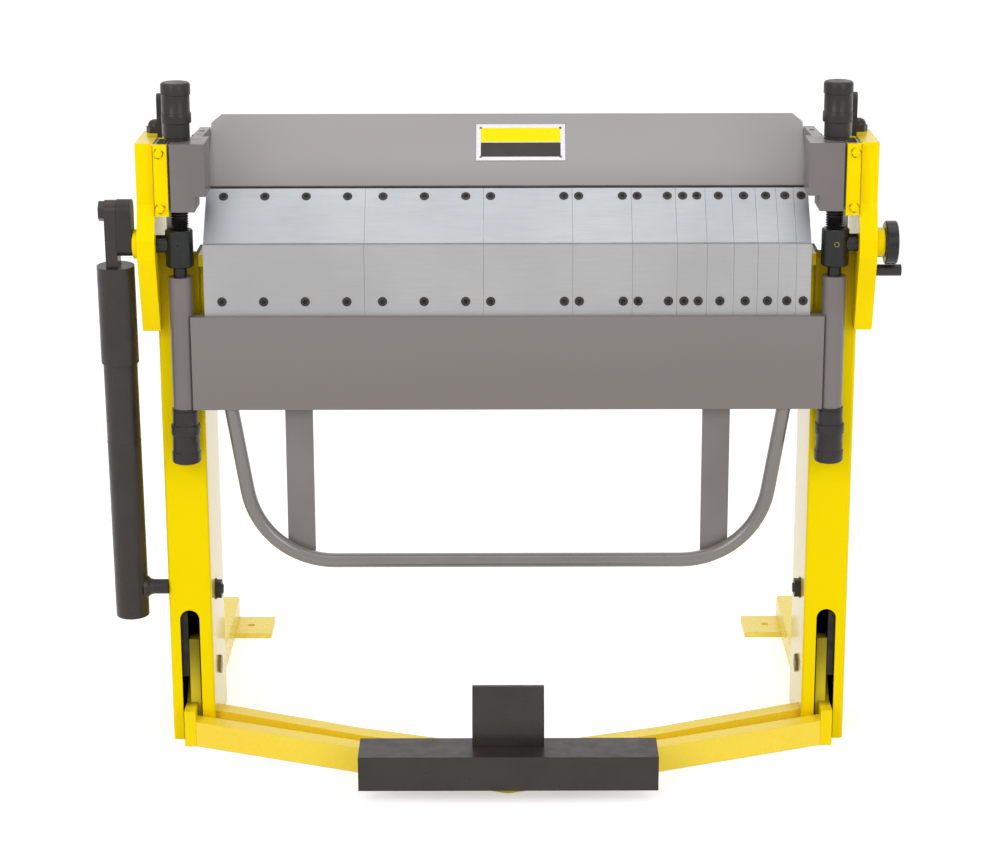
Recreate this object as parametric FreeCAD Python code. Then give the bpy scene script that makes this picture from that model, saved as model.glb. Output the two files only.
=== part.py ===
import FreeCAD, Part
import math
import os

# Foot operated box and pan folder, in millimetres.
# The origin is on the floor, midway between the two rear anchor holes.
# +X runs to the operator's right, +Y to the back and +Z up.
# The beam is clamped and the bending beam hangs at zero degrees.

V = FreeCAD.Vector

# Working line
COLUMN_SPAN = 1188.0
WORK_MARGIN = 84.0
FINGER_SET = [270, 200, 150, 100, 75, 50, 45, 40, 35, 30, 25]
FRONT_REACH = 595.0
FOLD_HEIGHT = 903.0
SEGMENT_GAP = 0.3
CONTACT_GAP = 0.3
RUN_GAP = 0.05

# Columns and base
COLUMN_WIDTH = 75.0
COLUMN_DEPTH = 195.0
COLUMN_WALL = 6.0
COLUMN_ROUND = 5.0
COLUMN_SETBACK = 30.0
COLUMN_TOP_DROP = 20.0
SLOT_WIDTH = 34.0
SLOT_HEIGHT = 242.0
RAIL_HEIGHT = 50.0
RAIL_WIDTH = 50.0
RAIL_LENGTH = 424.0
RAIL_INSET = 17.0
RAIL_WALL = 4.0
RAIL_ROUND = 4.0
FOOT_LENGTH = 71.0
FOOT_DEPTH = 96.0
FOOT_THICKNESS = 10.0
ANCHOR_RADIUS = 7.0
ANCHOR_INSET = 27.5
BRACE_HEIGHT = 46.0
BRACE_WIDTH = 30.0
BRACE_KNEE_SHARE = 0.5048
BRACE_KNEE_REACH = 123.0
BRACE_TIP_REACH = 216.0
BRACE_SETBACK = 59.0
BRACE_START = 52.0
PEDAL_START = -5.5

# Side plates
PLATE_THICKNESS = 30.0
PLATE_LAP = 7.0
PLATE_TOP = 172.0
PLATE_BOTTOM = 152.0
PLATE_FRONT = 8.0
PLATE_NOSE = 30.0
PLATE_REAR = 98.0
GUIDE_TOP = 170.0
GUIDE_LOW = 50.0
GUIDE_WIDTH = 24.5
GUIDE_THICKNESS = 12.0
GUIDE_RIB = 30.0
GUIDE_BOLT_INSET = 14.0
CAP_WIDTH = 26.0
CAP_HEIGHT = 9.0
DOME_HEIGHT = 12.0

# Pivot of the bending beam
SHAFT_RADIUS = 15.0
SCREW_INSET = 37.5
SCREW_BACK = 20.0
SCREW_END = 30.0
COLLAR_RADIUS = 21.5
COLLAR_WIDE_RADIUS = 23.5
COLLAR_TOP = 25.0
COLLAR_CHAMFER = 5.5
COLLAR_BOTTOM = 38.5
COLLAR_STEP = 14.0
NECK_RADIUS = 11.5
FLANGE_RADIUS = 25.0
FLANGE_THICKNESS = 9.0
CRANK_THICKNESS = 25.0
CRANK_LENGTH = 56.0
CRANK_RADIUS = 20.0
DISC_RADIUS = 36.5
DISC_THICKNESS = 26.0
STOP_PIN_RADIUS = 9.8
STOP_PIN_LENGTH = 46.0
STOP_PIN_DROP = 50.0
STOP_PIN_BACK = 12.0

# Bending beam
BAR_THICKNESS = 8.0
BAR_HEIGHT = 122.0
BAR_TOP_DROP = 1.0
BEAM_BOTTOM = 288.0
BEAM_FRONT = 18.0
BEAM_BACK = 12.0
BACK_TOP = 62.0
POST_RADIUS = 20.0
POST_TOP = 56.0
HANDLE_RADIUS = 12.5
HANDLE_INSET = 76.5
HANDLE_LEAN = 73.0
HANDLE_DROP = 270.0
HANDLE_BEND = 70.0
STRAP_WIDTH = 47.0
STRAP_THICKNESS = 8.0
STRAP_INSET = 193.0

# Clamping beam
FINGER_SLANT = 111.0
FINGER_THICKNESS = 16.0
SLOPE_TOP = 183.0
SLOPE_BOTTOM = 30.0
SLOPE_THICKNESS = 15.0
SLOPE_OVERHANG = 1.0
CORNER_CUT = 21.0
BLOCK_LAP = 10.0
TONGUE_LENGTH = 29.0
BLOCK_FRONT = 25.0
BLOCK_REAR = 53.0
BLOCK_TOP = 172.0
BLOCK_BOTTOM = 58.0
BLOCK_STEP = 84.0
BLOCK_SHELF = 19.0
ARM_WIDTH = 18.0
TONGUE_FRONT = 8.0
TONGUE_REAR = 53.0
CLAMP_SCREW_RADIUS = 13.0
KNOB_RADIUS = 24.5
KNOB_NECK_RADIUS = 21.0
KNOB_GROOVE = 1.5
KNOB_STEPS = [31.0, 17.0, 30.0, 22.0]
KNOB_ROUND = 2.0
LINK_THICKNESS = 12.0
LINK_Y = 46.0
LINK_INSET = 12.0
LINK_WIDTH = 11.5

# Lower beam
BED_DEPTH = 48.0
BED_HEIGHT = 20.0
LEDGE_DEPTH = 86.0
LEDGE_FRONT = 4.0
BEAM_TUBE_FRONT = 30.0
BEAM_TUBE_WALL = 8.0
BEAM_TUBE_DEPTH = 90.0
BEAM_TUBE_HEIGHT = 150.0

# Pedal
PIVOT_BACK = 110.0
PIVOT_HEIGHT = 112.0
PIVOT_RADIUS = 10.0
LEVER_INSET = 34.0
SLOT_OFFSET = 1.5
LEVER_WIDTH = 20.0
LEVER_HEIGHT = 83.0
LEVER_REACH = 6.0
TREAD_WIDTH = 502.0
TREAD_HEIGHT = 60.0
TREAD_DEPTH = 85.0
TREAD_WALL = 5.0
TREAD_BOTTOM = 23.0
TREAD_FRONT = 256.0
HOOK_WIDTH = 121.0
HOOK_THICKNESS = 8.0
HOOK_RISE = 47.0
HOOK_SLANT = 57.0
HOOK_LEAN = 30.0
FLOOR_GAP = 1.0
SADDLE_WIDTH = 80.0
SADDLE_DEPTH = 26.0
SADDLE_FRONT = 202.0

# Spring strut
STRUT_INSET = 32.2
TUBE_RADIUS = 28.8
SLEEVE_RADIUS = 31.8
STRUT_WALL = 2.7
STRUT_PIN_DROP = 618.0
STRUT_PIN_Y = 35.0
STRUT_PIN_RADIUS = 13.0
TUBE_END_DROP = 52.0
SLEEVE_TOP = 38.0
SLEEVE_LENGTH = 169.0
TUBE_OVERLAP = 52.0
ROD_THICKNESS = 20.0
ROD_HALF_DEPTH = 19.0

# Bare nameplate
BADGE_WIDTH = 153.0
BADGE_HEIGHT = 76.0
BADGE_THICKNESS = 1.5
BADGE_SHIFT = 23.5
BADGE_RISE = 142.0


def box(x0, x1, y0, y1, z0, z1):
    return Part.makeBox(x1 - x0, y1 - y0, z1 - z0, V(x0, y0, z0))


def cylinder(x, y, z, radius, length, axis):
    return Part.makeCylinder(radius, length, V(x, y, z), V(*axis))


def along_x(points, x0, x1):
    """A side profile of (y, z) points, drawn out from x0 to x1."""
    wire = Part.makePolygon([V(x0, y, z) for y, z in points + points[:1]])
    return Part.Face(wire).extrude(V(x1 - x0, 0, 0))


def along_z(points, z0, z1):
    """A plan of (x, y) points, drawn up from z0 to z1."""
    wire = Part.makePolygon([V(x, y, z0) for x, y in points + points[:1]])
    return Part.Face(wire).extrude(V(0, 0, z1 - z0))


def work(points):
    """Moves (y, z) points given from the fold line to the machine's frame."""
    return [(FOLD_Y + y, FOLD_HEIGHT + z) for y, z in points]


def right_of(shape):
    """The same piece on the other side of the machine."""
    return shape.mirror(V(0, 0, 0), V(1, 0, 0))


def both_sides(shape):
    return Part.makeCompound([shape, right_of(shape)])


def rounded(shape, radius, along):
    """Rounds the edges that run along X, Y or Z."""
    size = {"X": "XLength", "Y": "YLength", "Z": "ZLength"}[along]
    edges = [edge for edge in shape.Edges if getattr(edge.BoundBox, size) > 4 * radius]
    return shape.makeFillet(radius, edges)


def fused(first, *others):
    return first.fuse(list(others)).removeSplitter()


def hexagon(x, y, z, across, height, axis):
    """A hexagon head that stands on the point and grows along the axis."""
    radius = across / math.sqrt(3.0)
    ring = [V(radius * math.cos(i * math.pi / 3), radius * math.sin(i * math.pi / 3), 0)
            for i in range(7)]
    head = Part.Face(Part.makePolygon(ring)).extrude(V(0, 0, height))
    head.Placement = FreeCAD.Placement(V(x, y, z), FreeCAD.Rotation(V(0, 0, 1), V(*axis)))
    return head


def turned(steps, x, y, z, down=False):
    """A stack of discs, each (radius, height), with its base at the point."""
    solid = None
    height = 0.0
    for radius, length in steps:
        disc = cylinder(x, y, z + height, radius, length, (0, 0, 1))
        solid = disc if solid is None else solid.fuse(disc)
        height += length
    if down:
        solid.rotate(V(x, y, z), V(1, 0, 0), 180)
    return solid.removeSplitter()


def save(name, shape):
    shape.exportStep("parts/" + name + ".step")


def save_sides(name, shape):
    save(name + "_left", shape)
    save(name + "_right", right_of(shape))


FOLD_Y = -FRONT_REACH
WORK_WIDTH = COLUMN_SPAN - 2 * WORK_MARGIN
FINGER_WIDTHS = [width * WORK_WIDTH / sum(FINGER_SET) for width in FINGER_SET]
COLUMN_OUTER = COLUMN_SPAN / 2
COLUMN_INNER = COLUMN_OUTER - COLUMN_WIDTH
COLUMN_FRONT_Y = FOLD_Y + COLUMN_SETBACK
COLUMN_REAR_Y = COLUMN_FRONT_Y + COLUMN_DEPTH
COLUMN_TOP = FOLD_HEIGHT - COLUMN_TOP_DROP
PIVOT_Y = FOLD_Y + PIVOT_BACK
LEVER_X = COLUMN_OUTER - LEVER_INSET
SLOT_X = LEVER_X - SLOT_OFFSET
RAIL_INNER = COLUMN_INNER + RAIL_INSET
ANCHOR_X = RAIL_INNER - ANCHOR_INSET
BRACE_KNEE_X = COLUMN_INNER * BRACE_KNEE_SHARE
PLATE_INNER = COLUMN_OUTER - PLATE_LAP
SCREW_X = PLATE_INNER - SCREW_INSET
LINK_OUTER = PLATE_INNER - LINK_INSET
SLOPE_HALF = WORK_WIDTH / 2 + SLOPE_OVERHANG
BLOCK_INNER = WORK_WIDTH / 2 - BLOCK_LAP
BLOCK_STEP_X = BLOCK_INNER + BLOCK_SHELF
BLOCK_OUTER = PLATE_INNER - TONGUE_LENGTH
HANDLE_TOP_X = SCREW_X - HANDLE_INSET
STRAP_X = SCREW_X - STRAP_INSET
PLATE_OUTER = PLATE_INNER + PLATE_THICKNESS
CRANK_INNER = PLATE_OUTER + FLANGE_THICKNESS + CONTACT_GAP
STRUT_X = CRANK_INNER + STRUT_INSET


def column():
    """A box column, open below, with a slot for the pedal's lever."""
    shell = rounded(box(-COLUMN_OUTER, -COLUMN_INNER, COLUMN_FRONT_Y, COLUMN_REAR_Y, 0,
                        COLUMN_TOP), COLUMN_ROUND, "Z")
    hollow = box(-COLUMN_OUTER + COLUMN_WALL, -COLUMN_INNER - COLUMN_WALL,
                 COLUMN_FRONT_Y + COLUMN_WALL, COLUMN_REAR_Y - COLUMN_WALL, -1, COLUMN_TOP + 1)
    half = SLOT_WIDTH / 2
    crown = SLOT_HEIGHT - half
    depth = COLUMN_WALL * 3
    front = COLUMN_FRONT_Y - COLUMN_WALL
    slot = box(-SLOT_X - half, -SLOT_X + half, front, front + depth, -1, crown)
    slot = slot.fuse(cylinder(-SLOT_X, front, crown, half, depth, (0, 1, 0)))
    bore = cylinder(-COLUMN_OUTER - 1, PIVOT_Y, PIVOT_HEIGHT, PIVOT_RADIUS,
                    COLUMN_WIDTH + 2, (1, 0, 0))
    return shell.cut([hollow, slot, bore]).removeSplitter()


def side_plate():
    """The cheek that carries the pivot: straight above, with a nose at the shaft."""
    start = [(PLATE_REAR, PLATE_TOP), (-PLATE_FRONT, PLATE_TOP), (-PLATE_FRONT, 68.0)]
    nose = [(-PLATE_NOSE, 10.0), (-PLATE_NOSE, -22.0)]
    end = [(PLATE_FRONT, -PLATE_BOTTOM), (PLATE_REAR, -PLATE_BOTTOM)]
    plate = along_x(work(start + nose + end), -PLATE_OUTER, -PLATE_INNER)
    seat = box(-COLUMN_OUTER, -COLUMN_INNER, COLUMN_FRONT_Y, COLUMN_REAR_Y, 0, COLUMN_TOP)
    bore = cylinder(-PLATE_OUTER - 1, FOLD_Y, FOLD_HEIGHT, SHAFT_RADIUS + RUN_GAP,
                    PLATE_THICKNESS + 2, (1, 0, 0))
    return plate.cut([seat, bore])


def guide_cover():
    """The bolted strip in front of the block's tongue, and the rib behind it."""
    front = FOLD_Y - TONGUE_FRONT - CONTACT_GAP
    top = FOLD_HEIGHT + GUIDE_TOP
    low = FOLD_HEIGHT + GUIDE_LOW
    face = front - GUIDE_THICKNESS
    cover = box(-PLATE_INNER, -PLATE_INNER + GUIDE_WIDTH, face, front, low, top)
    heads = [hexagon(-PLATE_INNER + GUIDE_WIDTH * 0.43, face, z, 13.0, 6.0, (0, -1, 0))
             for z in (low + GUIDE_BOLT_INSET, top - GUIDE_BOLT_INSET)]
    rear = FOLD_Y + TONGUE_REAR + CONTACT_GAP
    rib = box(-PLATE_INNER, -PLATE_INNER + GUIDE_WIDTH, rear, rear + GUIDE_RIB, low, top)
    return [fused(cover, *heads), rib]


def rail():
    """A floor rail behind the column, with an anchor plate that points inwards."""
    inner = -RAIL_INNER
    tube = rounded(box(inner - RAIL_WIDTH, inner, COLUMN_REAR_Y, COLUMN_REAR_Y + RAIL_LENGTH, 0,
                       RAIL_HEIGHT), RAIL_ROUND, "Y")
    hollow = box(inner - RAIL_WIDTH + RAIL_WALL, inner - RAIL_WALL, COLUMN_REAR_Y + RAIL_WALL,
                 COLUMN_REAR_Y + RAIL_LENGTH - RAIL_WALL, RAIL_WALL, RAIL_HEIGHT - RAIL_WALL)
    foot = box(inner, inner + FOOT_LENGTH, -FOOT_DEPTH / 2, FOOT_DEPTH / 2, 0, FOOT_THICKNESS)
    anchor = cylinder(-ANCHOR_X, 0, -1, ANCHOR_RADIUS, FOOT_THICKNESS + 2, (0, 0, 1))
    return tube.cut(hollow), foot.cut(anchor)


def vee(outer_x, start_y, shift, z0):
    """A floor frame of two arms that meet at the front, seen from above."""
    knee = -BRACE_KNEE_REACH + shift
    tip = -BRACE_TIP_REACH + shift
    front = [(-outer_x, start_y), (-BRACE_KNEE_X, knee), (0, tip), (BRACE_KNEE_X, knee),
             (outer_x, start_y)]
    back = [(x, y + BRACE_WIDTH * 1.1) for x, y in reversed(front)]
    points = [(x, FOLD_Y + y) for x, y in front + back]
    return along_z(points, z0, BRACE_HEIGHT)


def lower_beam():
    """The welded tube between the columns that carries the bed."""
    top = FOLD_HEIGHT - 2 * BED_HEIGHT
    front = FOLD_Y + BEAM_TUBE_FRONT
    outer = box(-COLUMN_INNER, COLUMN_INNER, front, front + BEAM_TUBE_DEPTH,
                top - BEAM_TUBE_HEIGHT, top)
    wall = BEAM_TUBE_WALL
    inner = box(-COLUMN_INNER - 1, COLUMN_INNER + 1, front + wall, front + BEAM_TUBE_DEPTH - wall,
                top - BEAM_TUBE_HEIGHT + wall, top - wall)
    return outer.cut(inner)


def bed():
    """The bed bar under the fingers, and the wider ledge that it is bolted to."""
    back = FOLD_Y + BED_DEPTH
    top = FOLD_HEIGHT
    bar = box(-WORK_WIDTH / 2, WORK_WIDTH / 2, FOLD_Y + 0.5, back, top - BED_HEIGHT, top)
    ledge = box(-COLUMN_INNER, COLUMN_INNER, FOLD_Y + LEDGE_FRONT, FOLD_Y + LEDGE_FRONT + LEDGE_DEPTH,
                top - 2 * BED_HEIGHT, top - BED_HEIGHT)
    return bar, ledge


def finger(x0, x1):
    """One finger: a sloping plate with a flat sole on the bed."""
    rise = FINGER_SLANT / math.sqrt(2.0)
    back = FINGER_THICKNESS / math.sqrt(2.0)
    sole = CONTACT_GAP
    profile = [(0, sole), (rise, rise + sole), (rise + back, rise - back + sole),
               (2 * back, sole)]
    return along_x(work(profile), x0, x1)


def sloping_beam():
    """The clamping beam: a sloping plate closed behind by a web and a floor."""
    shift = FINGER_THICKNESS * math.sqrt(2.0)
    thick = SLOPE_THICKNESS * math.sqrt(2.0)
    low, high = SLOPE_BOTTOM, SLOPE_TOP
    outer = [(low + shift, low), (high + shift, high), (high + shift, high - thick),
             (high + shift, low)]
    inner = [(low + shift + thick + 10.0, low + 10.0), (high + shift - 10.0, high - thick - 10.0),
             (high + shift - 10.0, low + 10.0)]
    beam = along_x(work(outer), -SLOPE_HALF, SLOPE_HALF)
    beam = beam.cut(along_x(work(inner), -SLOPE_HALF + 12.0, SLOPE_HALF - 12.0))
    top = FOLD_HEIGHT + high
    rear = FOLD_Y + high + shift
    for side in (-1, 1):
        edge = side * SLOPE_HALF
        wire = Part.makePolygon([V(edge, rear - CORNER_CUT * 3, top),
                                 V(edge - side * CORNER_CUT, rear - CORNER_CUT * 3, top),
                                 V(edge, rear - CORNER_CUT * 3, top - CORNER_CUT),
                                 V(edge, rear - CORNER_CUT * 3, top)])
        beam = beam.cut(Part.Face(wire).extrude(V(0, CORNER_CUT * 4, 0)))
    return beam


def end_block():
    """The block that slides in the guide, with its step, tongue and rear arm."""
    y0, y1 = FOLD_Y - BLOCK_FRONT, FOLD_Y + BLOCK_REAR
    top = FOLD_HEIGHT + BLOCK_TOP
    block = box(-BLOCK_OUTER, -BLOCK_STEP_X, y0, y1, FOLD_HEIGHT + BLOCK_BOTTOM, top)
    shelf = box(-BLOCK_STEP_X, -BLOCK_INNER, y0, y1, FOLD_HEIGHT + BLOCK_STEP, top)
    tongue = box(-PLATE_INNER + CONTACT_GAP, -BLOCK_OUTER, FOLD_Y - TONGUE_FRONT,
                 FOLD_Y + TONGUE_REAR, FOLD_HEIGHT + BLOCK_BOTTOM, top - 12.0)
    arm_x = -SLOPE_HALF - ARM_WIDTH
    rear = FOLD_Y + SLOPE_TOP
    arm = along_x([(y1 - 10.0, FOLD_HEIGHT + BLOCK_STEP), (y1 - 10.0, top), (rear, top + 4.0),
                   (rear, FOLD_HEIGHT + BLOCK_STEP)], arm_x, -SLOPE_HALF)
    bore = cylinder(-SCREW_X, FOLD_Y + SCREW_BACK, FOLD_HEIGHT + BLOCK_BOTTOM - 1, CLAMP_SCREW_RADIUS,
                    BLOCK_TOP - BLOCK_BOTTOM + 2, (0, 0, 1))
    return fused(block, shelf, tongue, arm).cut(bore)


def clamp_screw():
    """The threaded rod through the end block, down to the collar."""
    length = BLOCK_TOP - SCREW_END
    return cylinder(-SCREW_X, FOLD_Y + SCREW_BACK, FOLD_HEIGHT + SCREW_END, CLAMP_SCREW_RADIUS,
                    length, (0, 0, 1))


def knob(y, z, down=False):
    """An adjusting knob: a neck, a ring, a body and a rounded cap."""
    radii = [KNOB_NECK_RADIUS, KNOB_RADIUS, KNOB_RADIUS - KNOB_GROOVE, KNOB_RADIUS]
    solid = turned(list(zip(radii, KNOB_STEPS)), -SCREW_X, y, z, down)
    end = z - sum(KNOB_STEPS) if down else z + sum(KNOB_STEPS)
    rim = [edge for edge in solid.Edges if abs(edge.BoundBox.ZMin - end) < 0.1
           and edge.BoundBox.ZLength < 0.1]
    return solid.makeChamfer(KNOB_ROUND, rim)


def link_bar():
    """The steel bar in the column that joins the end block to the pedal."""
    y0 = FOLD_Y + LINK_Y - LINK_THICKNESS / 2
    return box(-LINK_OUTER, -LINK_OUTER + LINK_WIDTH, y0, y0 + LINK_THICKNESS, LEVER_HEIGHT + 32.0,
               FOLD_HEIGHT + BLOCK_BOTTOM)


def bending_bars():
    """One bar below each finger, with its flat back on the fold line."""
    top = -BAR_TOP_DROP
    profile = work([(-0.5, top), (-0.5, top - BAR_HEIGHT), (-0.5 - BAR_THICKNESS, top - BAR_HEIGHT),
                    (-0.5 - BAR_THICKNESS, top)])
    return [along_x(profile, x0, x1) for x0, x1 in segments()]


def segments():
    edges = []
    x = -WORK_WIDTH / 2
    for width in FINGER_WIDTHS:
        edges.append((x + SEGMENT_GAP / 2, x + width - SEGMENT_GAP / 2))
        x += width
    return edges


def apron():
    """The bending beam: a channel with a taller back plate behind the bars."""
    ledge = -BAR_TOP_DROP - BAR_HEIGHT
    low = -BEAM_BOTTOM
    outer = [(-BEAM_FRONT, ledge), (-0.5, ledge), (-0.5, -BACK_TOP), (BEAM_BACK, -BACK_TOP),
             (BEAM_BACK, low), (-BEAM_FRONT, low)]
    return along_x(work(outer), -SCREW_X + POST_RADIUS - 4.0, SCREW_X - POST_RADIUS + 4.0)


def end_post():
    post = cylinder(-SCREW_X, FOLD_Y, FOLD_HEIGHT - BEAM_BOTTOM, POST_RADIUS,
                    BEAM_BOTTOM - POST_TOP, (0, 0, 1))
    return post.cut(apron())


def collar():
    """The pivot collar on its shaft, with the neck that stands on the end post."""
    low = FOLD_HEIGHT - COLLAR_BOTTOM
    wide = COLLAR_BOTTOM - COLLAR_STEP
    body = cylinder(-SCREW_X, FOLD_Y, low, COLLAR_WIDE_RADIUS, wide, (0, 0, 1))
    upper = cylinder(-SCREW_X, FOLD_Y, low + wide, COLLAR_RADIUS, COLLAR_TOP + COLLAR_STEP, (0, 0, 1))
    neck = cylinder(-SCREW_X, FOLD_Y, FOLD_HEIGHT - POST_TOP, NECK_RADIUS,
                    POST_TOP - COLLAR_BOTTOM, (0, 0, 1))
    shaft = cylinder(-CRANK_INNER, FOLD_Y, FOLD_HEIGHT, SHAFT_RADIUS, CRANK_INNER - SCREW_X,
                     (1, 0, 0))
    top = FOLD_HEIGHT + COLLAR_TOP
    upper = upper.makeChamfer(COLLAR_CHAMFER, [e for e in upper.Edges if e.BoundBox.ZMin > top - 1])
    return fused(body, upper, neck, shaft)


def crank():
    """The arm outside the left cheek that the spring strut pulls on."""
    x0 = -CRANK_INNER - CRANK_THICKNESS
    low = cylinder(x0, FOLD_Y, FOLD_HEIGHT, CRANK_RADIUS, CRANK_THICKNESS, (1, 0, 0))
    high = cylinder(x0, FOLD_Y, FOLD_HEIGHT + CRANK_LENGTH, CRANK_RADIUS, CRANK_THICKNESS,
                    (1, 0, 0))
    web = box(x0, x0 + CRANK_THICKNESS, FOLD_Y - CRANK_RADIUS, FOLD_Y + CRANK_RADIUS,
              FOLD_HEIGHT, FOLD_HEIGHT + CRANK_LENGTH)
    return fused(low, high, web)


def stop_disc():
    disc = cylinder(CRANK_INNER, FOLD_Y, FOLD_HEIGHT, DISC_RADIUS, DISC_THICKNESS, (1, 0, 0))
    rim = [edge for edge in disc.Edges if edge.BoundBox.XMin > CRANK_INNER + 1
           and edge.BoundBox.YLength > DISC_RADIUS]
    return disc.makeChamfer(3.0, rim)


def handle():
    """The U-shaped tube below the bending beam and its two straps."""
    y = FOLD_Y - 3.0
    top = FOLD_HEIGHT - BEAM_BOTTOM
    low = top - HANDLE_DROP
    knee_x = -HANDLE_TOP_X + HANDLE_LEAN
    slope = math.atan2(HANDLE_DROP, HANDLE_TOP_X + knee_x)
    trim = HANDLE_BEND * math.tan(slope / 2)
    up = V(-math.cos(slope), 0, math.sin(slope))
    knee = V(knee_x, y, low)
    start = knee + up * trim
    leg = Part.makeCylinder(HANDLE_RADIUS, HANDLE_DROP * 1.2, start, up)
    centre = V(knee_x + trim, y, low + HANDLE_BEND)
    ring = Part.Face(Part.Wire([Part.Circle(V(knee_x + trim, y, low), V(1, 0, 0),
                                            HANDLE_RADIUS).toShape()]))
    elbow = ring.revolve(centre, V(0, 1, 0), math.degrees(slope))
    rung = cylinder(knee_x + trim, y, low, HANDLE_RADIUS, -2 * (knee_x + trim), (1, 0, 0))
    tube = fused(rung, elbow, leg, right_of(elbow), right_of(leg))
    strap = box(-STRAP_X - STRAP_WIDTH / 2, -STRAP_X + STRAP_WIDTH / 2, y + HANDLE_RADIUS,
                y + HANDLE_RADIUS + STRAP_THICKNESS, low - 4.0, top)
    cap = box(-2 * HANDLE_TOP_X, 2 * HANDLE_TOP_X, y - 2 * HANDLE_RADIUS, y + 2 * HANDLE_RADIUS,
              top, top + HANDLE_DROP)
    return [tube.cut(cap), strap, right_of(strap)]


def pedal_lever():
    """A lever from the pivot in the column out through its slot."""
    front = FOLD_Y - LEVER_REACH
    profile = [(front, FLOOR_GAP), (front, LEVER_HEIGHT), (FOLD_Y + LINK_Y, LEVER_HEIGHT),
               (PIVOT_Y, PIVOT_HEIGHT + 22.0), (PIVOT_Y + 22.0, PIVOT_HEIGHT),
               (PIVOT_Y, PIVOT_HEIGHT - 26.0), (FOLD_Y + LINK_Y, FLOOR_GAP)]
    lever = along_x(profile, -LEVER_X - LEVER_WIDTH / 2, -LEVER_X + LEVER_WIDTH / 2)
    bore = cylinder(-LEVER_X - LEVER_WIDTH, PIVOT_Y, PIVOT_HEIGHT, PIVOT_RADIUS + RUN_GAP,
                    2 * LEVER_WIDTH, (1, 0, 0))
    return lever.cut(bore)


def pedal_frame():
    """The moving V of the pedal, with the saddle that carries the tread."""
    arms = vee(LEVER_X - LEVER_WIDTH / 2, PEDAL_START, 0, FLOOR_GAP)
    saddle = box(-SADDLE_WIDTH / 2, SADDLE_WIDTH / 2, FOLD_Y - SADDLE_FRONT,
                 FOLD_Y - SADDLE_FRONT + SADDLE_DEPTH, BRACE_HEIGHT,
                 TREAD_BOTTOM + TREAD_HEIGHT - TREAD_WALL)
    return fused(arms, saddle)


def pivot_bolt():
    shank = cylinder(-COLUMN_OUTER, PIVOT_Y, PIVOT_HEIGHT, PIVOT_RADIUS, COLUMN_WIDTH, (1, 0, 0))
    heads = [hexagon(-COLUMN_INNER, PIVOT_Y, PIVOT_HEIGHT, 30.0, 5.0, (1, 0, 0)),
             hexagon(-COLUMN_OUTER, PIVOT_Y, PIVOT_HEIGHT, 30.0, 5.0, (-1, 0, 0))]
    return fused(shank, *heads)


def tread():
    """The folded channel that the foot presses, with its toe hook."""
    y0 = FOLD_Y - TREAD_FRONT
    y1 = y0 + TREAD_DEPTH
    half = TREAD_WIDTH / 2
    top = TREAD_BOTTOM + TREAD_HEIGHT
    sheet = [(y0, TREAD_BOTTOM), (y0, top), (y1, top), (y1, top - 20.0),
             (y1 - TREAD_WALL, top - 20.0), (y1 - TREAD_WALL, top - TREAD_WALL),
             (y0 + TREAD_WALL, top - TREAD_WALL), (y0 + TREAD_WALL, TREAD_BOTTOM)]
    foot = FOLD_Y - TREAD_FRONT + 48.0
    lean = math.radians(HOOK_LEAN)
    ridge = (foot, top + HOOK_RISE)
    tip = (foot + HOOK_SLANT * math.sin(lean), ridge[1] + HOOK_SLANT * math.cos(lean))
    plate = [(foot, top), ridge, tip, (tip[0] + HOOK_THICKNESS, tip[1]),
             (ridge[0] + HOOK_THICKNESS, ridge[1]), (foot + HOOK_THICKNESS, top)]
    hook = along_x(plate, -HOOK_WIDTH / 2, HOOK_WIDTH / 2)
    return along_x(sheet, -half, half), hook


def strut():
    """The lower tube on its pin, and the sleeve with its flat rod above."""
    base = STRUT_PIN_DROP + TUBE_END_DROP
    top = SLEEVE_TOP + SLEEVE_LENGTH - TUBE_OVERLAP
    tube = cylinder(0, 0, -base, TUBE_RADIUS, base - top, (0, 0, 1))
    tube = tube.cut(cylinder(0, 0, -base + 20.0, TUBE_RADIUS - 4.0, base - top, (0, 0, 1)))
    end = SLEEVE_TOP + SLEEVE_LENGTH
    sleeve = cylinder(0, 0, -end, SLEEVE_RADIUS, SLEEVE_LENGTH, (0, 0, 1))
    sleeve = sleeve.cut(cylinder(0, 0, -end - 1, SLEEVE_RADIUS - STRUT_WALL,
                                 SLEEVE_LENGTH - 9.0, (0, 0, 1)))
    half = ROD_THICKNESS / 2
    rod = box(-half, half, -ROD_HALF_DEPTH, ROD_HALF_DEPTH, -SLEEVE_TOP, CRANK_LENGTH)
    eye = cylinder(-half, 0, CRANK_LENGTH, ROD_HALF_DEPTH, ROD_THICKNESS, (1, 0, 0))
    head = hexagon(-half, 0, CRANK_LENGTH, 30.0, 10.0, (-1, 0, 0))
    rod = fused(rod, eye, head)
    rod.translate(V(STRUT_X - CRANK_INNER - CRANK_THICKNESS - CONTACT_GAP - half, 0, 0))
    lean = math.degrees(math.atan2(STRUT_PIN_Y, STRUT_PIN_DROP + CRANK_LENGTH))
    placed = []
    for shape in (tube, sleeve, rod):
        shape.rotate(V(0, 0, CRANK_LENGTH), V(1, 0, 0), lean)
        shape.translate(V(-STRUT_X, FOLD_Y, FOLD_HEIGHT))
        placed.append(shape)
    pin_x = -STRUT_X + TUBE_RADIUS + CONTACT_GAP
    pin = cylinder(pin_x, FOLD_Y + STRUT_PIN_Y, FOLD_HEIGHT - STRUT_PIN_DROP,
                   STRUT_PIN_RADIUS, -COLUMN_OUTER - pin_x, (1, 0, 0))
    return placed[0], placed[1], placed[2], pin


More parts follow.
